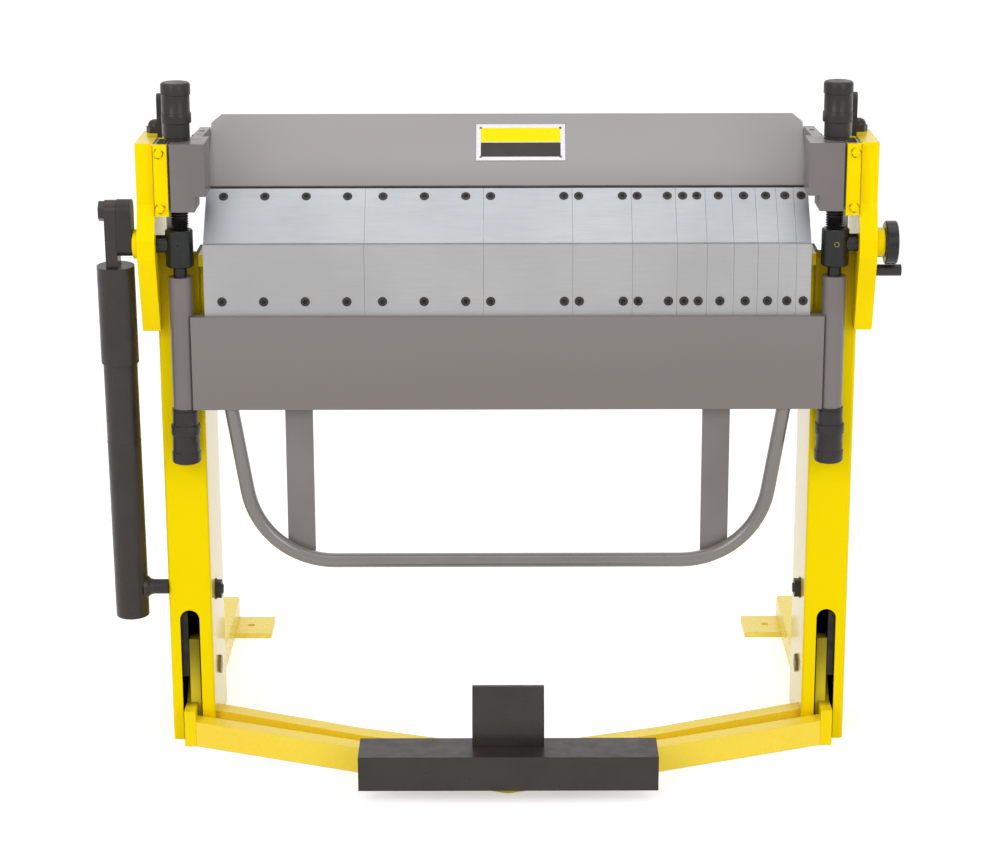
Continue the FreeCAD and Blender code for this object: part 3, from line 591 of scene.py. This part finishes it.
APRON_LEDGE = FOLD_Z - 0.123
BACK_PLATE_FACE = FOLD_Y - 0.0005
BACK_PLATE_HALF = 0.509


def apron():
    """The bending beam, whose taller back plate is only as wide as the bars."""
    (x0, y0, z0), (x1, y1, z1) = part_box("apron")
    bm = bmesh.new()
    prism(bm, rectangle(y0, y1, z0 + BEAM_RAISE, APRON_LEDGE), ALONG_X, x0, x1)
    prism(bm, rectangle(BACK_PLATE_FACE, y1, APRON_LEDGE - 0.001, z1), ALONG_X,
          -BACK_PLATE_HALF, BACK_PLATE_HALF)
    beam = finish_mesh("apron_plates", bm, BEAM_GRAY)
    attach(beam, "bending_beam")
    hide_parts("apron")


reshaped("clamping_beam", "clamp", sloped_beam)
reshaped("end_posts", "bending_beam", raised)
reshaped("pedal_levers", "pedal", lever)
reshaped("handle_straps", "bending_beam", strap)
handle_tube()
apron()
for side in ("left", "right"):
    reshaped("end_block_" + side, "clamp", end_block)
    reshaped("side_plate_" + side, "stand", side_plate)


COLUMN_FLAT = 0.060
COLUMN_DROP = 0.062
WALL_SKIN = 0.002


def column(side):
    """The box column with its top falling to the rear, a glossier inner side in darker paint as
    painted shade and reflection, and painted shade on the faces inside it.
    """
    node = "column_" + side
    bm = bmesh.new()
    bm.from_mesh(NODES[node].data)
    bmesh.ops.remove_doubles(bm, verts=bm.verts, dist=1e-6)
    (x0, y0, z0), (x1, y1, z1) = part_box(node)
    level = Vector((0, y0 + COLUMN_FLAT, z1))
    slope = Vector((0, y1 + 0.001 - level.y, -COLUMN_DROP))
    normal = Vector((0, -slope.z, slope.y)).normalized()
    bmesh.ops.triangle_fill(bm, edges=cut_away(bm, level, normal), use_beauty=True, normal=normal)
    inner = x1 if x1 < 0 else x0
    for face in bm.faces:
        centre = face.calc_center_median()
        if abs(face.normal.x) > 0.95 and abs(centre.x - inner) < 0.0005:
            face.material_index = 1
        elif (x0 + WALL_SKIN < centre.x < x1 - WALL_SKIN
              and y0 + WALL_SKIN < centre.y < y1 - WALL_SKIN):
            face.material_index = 2
    shape = finish_mesh(node + "_shape", bm, [YELLOW_COLUMN, YELLOW_SIDE_SHADE_REFLECTION, SHADED])
    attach(shape, "stand")
    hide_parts(node)


column("left")
column("right")


# Pivot: collars, shafts, flanges, disc and cap nuts

PLATE_OUTER = -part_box("side_plate_left")[0][0]
PLATE_INNER = -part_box("side_plate_left")[1][0]
PLATE_MIDDLE = (PLATE_OUTER + PLATE_INNER) / 2
KNOB_RADIUS = 0.0245
SCREW_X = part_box("low_knobs")[1][0] - KNOB_RADIUS
SCREW_BACK = 0.020
SHAFT_RADIUS = 0.015
KNOB_PROFILE = [(0.0, 0.0), (0.0218, 0.0), (0.0218, 0.003), (0.0210, 0.0036), (0.0210, 0.0046),
                (0.0218, 0.0052), (0.0218, 0.0285), (0.0226, 0.0292), (KNOB_RADIUS, 0.0295),
                (0.0249, 0.0304), (0.0249, 0.0452), (0.0244, 0.0461), (0.0236, 0.0465),
                (0.0232, 0.0472), (0.0232, 0.0755), (0.0240, 0.0760), (0.0247, 0.0768),
                (0.0247, 0.0925), (0.0238, 0.0948), (0.0215, 0.0965), (0.0206, 0.0963),
                (0.0, 0.0963)]


def knobs(node, name, y, z, up, body):
    """Two turned adjusting knobs, with a groove below the collar and a rounded cap."""
    bm = bmesh.new()
    for sign in (-1, 1):
        lathe(bm, KNOB_PROFILE, facing((sign * SCREW_X, y, z), (0, 0, up), (0, 1, 0)), 64)
    pair = finish_mesh(name, bm, BLACK)
    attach(pair, body)
    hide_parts(node)


knobs("low_knobs", "low_knob_pair", FOLD_Y, BEAM_EDGE, -1, "bending_beam")
knobs("top_knobs", "top_knob_pair", FOLD_Y + SCREW_BACK, BLOCK_TOP, 1, "clamp")


COLLAR_PROFILE = [(0.0115, -0.056), (0.0115, -0.0385), (0.0213, -0.0385), (0.0233, -0.0365),
                  (0.0233, 0.0228), (0.0212, 0.025), (0.0150, 0.025), (0.0140, 0.0235),
                  (0.0, 0.0235)]
SET_SCREW_RIM = [(0.0048, -0.002), (0.0046, 0.0004), (0.0036, 0.0006), (0.0030, 0.0002)]
SET_SCREW_HOLE = [(0.0030, 0.0002), (0.0, 0.0002)]
COLLAR_FACE = FOLD_Y - 0.0231


def collars():
    """The collars on the posts, each with its shaft out to the bearing and a set screw whose socket is
    a dark disc of painted shade.
    """
    for name, sign in (("left", -1), ("right", 1)):
        node = "pivot_collar_" + name
        low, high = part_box(node)
        end = max(abs(low[0]), abs(high[0]))
        bm = bmesh.new()
        upright = Matrix.Translation((sign * SCREW_X, FOLD_Y, FOLD_Z))
        lathe(bm, COLLAR_PROFILE, upright, 48)
        reach = end - SCREW_X
        lathe(bm, [(0.0, 0.010), (SHAFT_RADIUS, 0.010), (SHAFT_RADIUS, reach), (0.0, reach)],
              along(sign * SCREW_X, FOLD_Y, FOLD_Z, sign), 40)
        screw = facing((sign * SCREW_X, COLLAR_FACE, FOLD_Z + 0.001), (0, -1, 0))
        lathe(bm, SET_SCREW_RIM, screw, 20, 1)
        lathe(bm, SET_SCREW_HOLE, screw, 20, 2)
        # The right set screw's rim is bright zinc and the left one black: a painted glint on the
        # right.
        collar = finish_mesh("collar_" + name, bm, [COLLAR_BLACK, ZINC if sign > 0 else BLACK,
                                                    HOLE_SHADE])
        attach(collar, "bending_beam")
        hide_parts(node)


FLANGE_BORE = 0.016
FLANGE_RADIUS = 0.025
LEFT_FLANGE, RIGHT_FLANGE = 0.009, 0.0145
DISC_RADIUS = 0.0365
DISC_CHAMFER = 0.002


def bearing():
    """The bearing flange on each side plate, and the stop disc on the right one."""
    low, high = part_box("stop_disc")
    bm = bmesh.new()
    for sign, thick in ((-1, LEFT_FLANGE), (1, RIGHT_FLANGE)):
        lathe(bm, [(FLANGE_BORE, 0.0), (FLANGE_RADIUS, 0.0), (FLANGE_RADIUS, thick - 0.0015),
                   (FLANGE_RADIUS - 0.0015, thick), (FLANGE_BORE, thick)],
              along(sign * PLATE_OUTER, FOLD_Y, FOLD_Z, sign), 40)
    flanges = finish_mesh("flanges", bm, YELLOW)
    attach(flanges, "stand")
    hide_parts("bearing_flanges")
    start = PLATE_OUTER + RIGHT_FLANGE + 0.0004
    face = high[0] - start
    bm = bmesh.new()
    lathe(bm, [(0.0, 0.0), (DISC_RADIUS - DISC_CHAMFER, 0.0), (DISC_RADIUS, DISC_CHAMFER),
               (DISC_RADIUS, face - DISC_CHAMFER), (DISC_RADIUS - DISC_CHAMFER, face),
               (0.012, face), (0.011, face - 0.001), (0.0, face - 0.001)],
          along(start, FOLD_Y, FOLD_Z, 1), 56)
    lathe(bm, [(SHAFT_RADIUS, 0.0), (SHAFT_RADIUS, -0.006)], along(start, FOLD_Y, FOLD_Z, 1), 32)
    disc = finish_mesh("disc", bm, COLLAR_BLACK)
    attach(disc, "bending_beam")
    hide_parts("stop_disc")


NUT_SHIFT, NUT_BACK, NUT_UP = 0.006, 0.111, 0.1705
NUT_RADIUS = 0.0160
NUT_HEIGHT = 0.0105
NUT_DOME = [(0.0135, NUT_HEIGHT), (0.0125, 0.0155), (0.0095, 0.0195), (0.0050, 0.0215),
            (0.0, 0.022)]


def cap_nuts():
    """The domed nut on top of each guide."""
    bm = bmesh.new()
    for sign in (-1, 1):
        place = Matrix.Translation((sign * (PLATE_MIDDLE - NUT_SHIFT), FOLD_Y + NUT_BACK,
                                    FOLD_Z + NUT_UP))
        prism(bm, hexagon(NUT_RADIUS), place, 0.0, NUT_HEIGHT)
        lathe(bm, NUT_DOME, place, 32)
    nuts = finish_mesh("domed_nuts", bm, BLACK)
    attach(nuts, "stand")
    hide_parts("cap_nuts")


collars()
bearing()
cap_nuts()


# Nuts, lugs, risers and welds

STRUT_NUT_BACK, STRUT_NUT_Z = 0.100, 0.2580
STRUT_NUT_RADIUS, STRUT_NUT_HEIGHT = 0.0170, 0.011
WASHER_PROFILE = [(0.019, 0.0), (0.019, 0.0016), (0.0, 0.0016)]
BOLT_END_PROFILE = [(0.009, STRUT_NUT_HEIGHT), (0.0088, 0.0130), (0.0075, 0.0140), (0.0, 0.0140)]


def column_nuts():
    """The black nut on each column's inner side, at the strut pin's height."""
    bm = bmesh.new()
    inner = -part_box("column_left")[1][0]
    for sign in (-1, 1):
        place = along(sign * inner, FOLD_Y + STRUT_NUT_BACK, STRUT_NUT_Z, -sign)
        lathe(bm, WASHER_PROFILE, place, 32)
        prism(bm, hexagon(STRUT_NUT_RADIUS), place, 0.0, STRUT_NUT_HEIGHT)
        lathe(bm, BOLT_END_PROFILE, place, 24)
    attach(finish_mesh("column_nuts", bm, BLACK), "stand")


ARM_MIDDLE_X, ARM_OUTER_X = 0.5200, 0.5285
HOLE_PROFILE = [(0.0050, -0.001), (0.0050, 0.0004), (0.0, 0.0004)]
NUB_PROFILE = [(0.0055, -0.001), (0.0055, 0.007), (0.0042, 0.009), (0.0, 0.009)]


def lugs():
    """The hole, a dark disc of painted shade, and the small nub on the arm of each end block."""
    bm = bmesh.new()
    for sign in (-1, 1):
        hole = Matrix.Translation((sign * ARM_MIDDLE_X, FOLD_Y + 0.130, BLOCK_TOP - 0.0031))
        lathe(bm, HOLE_PROFILE, hole, 20, 1)
        nub = along(sign * ARM_OUTER_X, FOLD_Y + 0.128, BLOCK_TOP - 0.014, sign)
        lathe(bm, NUB_PROFILE, nub, 20, 0)
    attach(finish_mesh("arm_lugs", bm, [POST_GRAY, HOLE_SHADE]), "clamp")


RISER_INSET = 0.0075
RISER_THICK = 0.018
RISER_FRONT = FOLD_Y + 0.041
RISER_TOP = 0.184


def risers():
    """The plate on each pedal lever that shows in the slot, with painted shade that deepens towards
    its top.
    """
    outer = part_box("pedal_levers")[1][0] - RISER_INSET
    bm = bmesh.new()
    outline = [(RISER_FRONT, 0.033), (RISER_FRONT, RISER_TOP), (FOLD_Y + 0.067, RISER_TOP),
               (FOLD_Y + 0.120, 0.120), (FOLD_Y + 0.110, 0.088)]
    for x0 in (-outer, outer - RISER_THICK):
        prism(bm, outline, ALONG_X, x0, x0 + RISER_THICK)
    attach(finish_mesh("lever_risers", bm, YELLOW_RISER_SHADED), "pedal")


LINK_SHADE_TOP = 0.78
LINK_WIDTH = 0.0115


def link_bars():
    """The link bars, bright steel where they show above, with painted shade on them inside the
    columns.
    """
    (x0, y0, z0), (x1, y1, z1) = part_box("link_bars")
    bm = bmesh.new()
    for low, high, slot in ((z0, LINK_SHADE_TOP, 1), (LINK_SHADE_TOP, z1, 0)):
        for left in (x0, x1 - LINK_WIDTH):
            prism(bm, rectangle(y0, y1, low, high), ALONG_X, left, left + LINK_WIDTH, slot)
    bars = finish_mesh("link_bar_pair", bm, [BED_STEEL, SHADED])
    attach(bars, "clamp")
    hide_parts("link_bars")


GAP_START, GAP_END = 0.0025, 0.0235
GAP_FRONT, GAP_REAR = FOLD_Y - 0.006, FOLD_Y + 0.050
GAP_LIP = 0.003


def guide_gaps():
    """The gap between each side plate and its guide, seen from above: a steel rim round a dark sheet
    of painted shade.
    """
    base = Matrix.Translation((0, 0, BLOCK_TOP - 0.0041))
    bm = bmesh.new()
    for sign in (-1, 1):
        x0, x1 = sorted((sign * (PLATE_INNER - GAP_START), sign * (PLATE_INNER - GAP_END)))
        hole = rectangle(x0 + GAP_LIP, x1 - GAP_LIP, GAP_FRONT + GAP_LIP, GAP_REAR - GAP_LIP)
        prism(bm, rectangle(x0, x1, GAP_FRONT, GAP_REAR), base, 0.0, 0.0008, 0)
        prism(bm, hole, base, 0.0, 0.0012, 1)
    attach(finish_mesh("guide_gaps", bm, [BED_STEEL, HOLE_SHADE]), "clamp")


SEAM_HALF = 0.5098
SEAM_BACK, SEAM_UP, SEAM_DEPTH = 0.0925, 0.0785, 0.010


def seam():
    """The dark line in the joint where the fingers meet the slope."""
    bm = bmesh.new()
    y, z = FOLD_Y + SEAM_BACK, FOLD_Z + SEAM_UP
    rear = y + SEAM_DEPTH
    prism(bm, [(y, z - 0.0002), (y, z + 0.0004), (rear, z + 0.0008), (rear, z - 0.0002)],
          ALONG_X, -SEAM_HALF, SEAM_HALF)
    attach(finish_mesh("slope_seam", bm, JOINT_DARK), "clamp")


PIN_WELD_PROFILE = [(0.0205, -0.004), (0.0185, 0.0025), (0.0145, 0.0065), (0.0131, 0.012)]
TUBE_SEAM_UP = 0.270
PIN_BACK, PIN_DOWN, CRANK_PIN_UP = 0.035, 0.618, 0.056


def strut_trim():
    """The weld of the strut's pin, and the seam round its tube."""
    (x0, y0, z0), (x1, y1, z1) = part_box("strut_tube")
    middle, radius = (x0 + x1) / 2, (x1 - x0) / 2
    bm = bmesh.new()
    pin_y, pin_z = FOLD_Y + PIN_BACK, FOLD_Z - PIN_DOWN
    lathe(bm, PIN_WELD_PROFILE, along(middle + radius - 0.0015, pin_y, pin_z, 1), 32)
    low_end = Vector((middle, pin_y, pin_z))
    high_end = Vector((middle, FOLD_Y, FOLD_Z + CRANK_PIN_UP))
    axis = (high_end - low_end).normalized()
    ring = facing(low_end + axis * TUBE_SEAM_UP, axis, (1, 0, 0))
    lathe(bm, [(radius - 0.001, -0.0012), (radius + 0.0004, -0.0008), (radius + 0.0004, 0.0008),
               (radius - 0.001, 0.0012)], ring, 40)
    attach(finish_mesh("strut_welds", bm, BLACK_PAINT), "strut_tube_body")


GUIDE_FACE = FOLD_Y - 0.0206
GUIDE_BOLTS = (0.064, 0.156)
STAIN_RADIUS = 0.0079
STAIN_CORNERS = 28
BOLT_INSET = 0.0105
GUIDE_LOW, GUIDE_TOP = FOLD_Z + 0.051, FOLD_Z + 0.169


def bolt_rings():
    """Brown rings round the guide bolts, and strips of the same colour in the joints beside them."""
    bm = bmesh.new()
    for sign in (-1, 1):
        for k, height in enumerate(GUIDE_BOLTS):
            spot = facing((sign * (PLATE_INNER - BOLT_INSET), GUIDE_FACE + 0.00025, FOLD_Z + height),
                          (0, -1, 0))
            outline = []
            for n in range(STAIN_CORNERS):
                a = math.tau * n / STAIN_CORNERS
                r = STAIN_RADIUS + 0.0012 * math.sin(3 * a + k) + 0.0008 * math.sin(7 * a + sign)
                outline.append((r * math.cos(a), r * math.sin(a) - 0.0006))
            prism(bm, outline, spot, -0.001, 0.0002)
        x0, x1 = sorted((sign * (PLATE_INNER - 0.0002), sign * (PLATE_INNER - 0.0014)))
        groove = rectangle(GUIDE_FACE, GUIDE_FACE + 0.0011, GUIDE_LOW, GUIDE_TOP)
        prism(bm, groove, ALONG_X, x0, x1)
    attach(finish_mesh("bolt_rings", bm, BOLT_RING_BROWN), "stand")


def inside_shade():
    """The unlit ground inside each column."""
    wall = 0.004
    for side in ("left", "right"):
        (x0, y0, z0), (x1, y1, z1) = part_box("column_" + side)
        bm = bmesh.new()
        prism(bm, rectangle(x0 + wall, x1 - wall, y0 + wall, y1 - wall), Matrix.Identity(4),
              -0.0004, 0.0002)
        finish_mesh("shade_" + side, bm, SHADED)


column_nuts()
lugs()
risers()
link_bars()
guide_gaps()
seam()
strut_trim()
bolt_rings()
inside_shade()


# Stage, light and camera

WHITE = (1.0, 1.0, 1.0, 1.0)
WORLD_LIGHT = 0.62
FLOOR_COLOUR = (0.82, 0.82, 0.82, 1.0)
FLOOR_GLOW = 0.5
FLOOR_SIZE = 40.0
LENS = 95.66
SHIFT_X = -0.0071
CAMERA_PLACE = (0.0, -4.969, 1.809)
CAMERA_TILT = math.radians(74.3)
CAMERA_ROLL = math.radians(-0.12)


def math_node(tree, operation, first, second):
    """The result of an operation on a socket and another socket or a number."""
    node = tree.nodes.new("ShaderNodeMath")
    node.operation = operation
    tree.links.new(first, node.inputs[0])
    if isinstance(second, float):
        node.inputs[1].default_value = second
    else:
        tree.links.new(second, node.inputs[1])
    return node.outputs[0]


def background(tree, strength):
    node = tree.nodes.new("ShaderNodeBackground")
    node.inputs["Color"].default_value = WHITE
    node.inputs["Strength"].default_value = strength
    return node.outputs[0]


def studio():
    """A soft even light, which looks white to the camera, in reflections and through glass."""
    scene = bpy.context.scene
    scene.view_settings.view_transform = "Standard"
    world = bpy.data.worlds.new("studio")
    scene.world = world
    world.use_nodes = True
    tree = world.node_tree
    tree.nodes.clear()
    out = tree.nodes.new("ShaderNodeOutputWorld")
    path = tree.nodes.new("ShaderNodeLightPath")
    seen = math_node(tree, "MAXIMUM", path.outputs["Is Camera Ray"], path.outputs["Is Glossy Ray"])
    clear = math_node(tree, "MAXIMUM", seen, path.outputs["Is Transmission Ray"])
    mix = tree.nodes.new("ShaderNodeMixShader")
    tree.links.new(clear, mix.inputs["Fac"])
    tree.links.new(background(tree, WORLD_LIGHT), mix.inputs[1])
    tree.links.new(background(tree, 1.0), mix.inputs[2])
    tree.links.new(mix.outputs[0], out.inputs["Surface"])


def floor():
    """A pale floor that looks white where nothing shades it."""
    bpy.ops.mesh.primitive_plane_add(size=FLOOR_SIZE, location=(0, 0, -0.0005))
    plane = bpy.context.object
    plane.name = "floor"
    material = bpy.data.materials.new("floor")
    material.use_nodes = True
    tree = material.node_tree
    bsdf = tree.nodes["Principled BSDF"]
    bsdf.inputs["Base Color"].default_value = FLOOR_COLOUR
    bsdf.inputs["Roughness"].default_value = 0.9
    path = tree.nodes.new("ShaderNodeLightPath")
    seen = math_node(tree, "MAXIMUM", path.outputs["Is Camera Ray"], path.outputs["Is Glossy Ray"])
    bsdf.inputs["Emission Color"].default_value = WHITE
    tree.links.new(math_node(tree, "MULTIPLY", seen, FLOOR_GLOW), bsdf.inputs["Emission Strength"])
    plane.data.materials.append(material)


def area_light(name, place, target, size, power):
    data = bpy.data.lights.new(name, "AREA")
    data.shape = "RECTANGLE"
    data.size, data.size_y = size
    data.energy = power
    lamp = bpy.data.objects.new(name, data)
    bpy.context.scene.collection.objects.link(lamp)
    lamp.matrix_world = facing(place, Vector(place) - Vector(target))


def camera():
    """The photo's camera, about five metres away and a little above the machine."""
    data = bpy.data.cameras.new("photo")
    data.sensor_width = 36.0
    data.lens = LENS
    data.shift_x = SHIFT_X
    data.clip_end = 100.0
    lens = bpy.data.objects.new("photo", data)
    bpy.context.scene.collection.objects.link(lens)
    turn = Matrix.Rotation(CAMERA_TILT, 4, "X") @ Matrix.Rotation(CAMERA_ROLL, 4, "Z")
    lens.matrix_world = Matrix.Translation(CAMERA_PLACE) @ turn
    bpy.context.scene.camera = lens


studio()
floor()
area_light("front_left", (-2.6, -4.2, 3.0), (0, -0.5, 0.7), size=(2.4, 2.4), power=60)
area_light("front_right", (2.6, -4.2, 2.6), (0, -0.5, 0.6), size=(2.4, 2.4), power=45)
area_light("above", (0.0, -0.6, 4.2), (0, -0.4, 0.6), size=(3.0, 3.0), power=30)
camera()
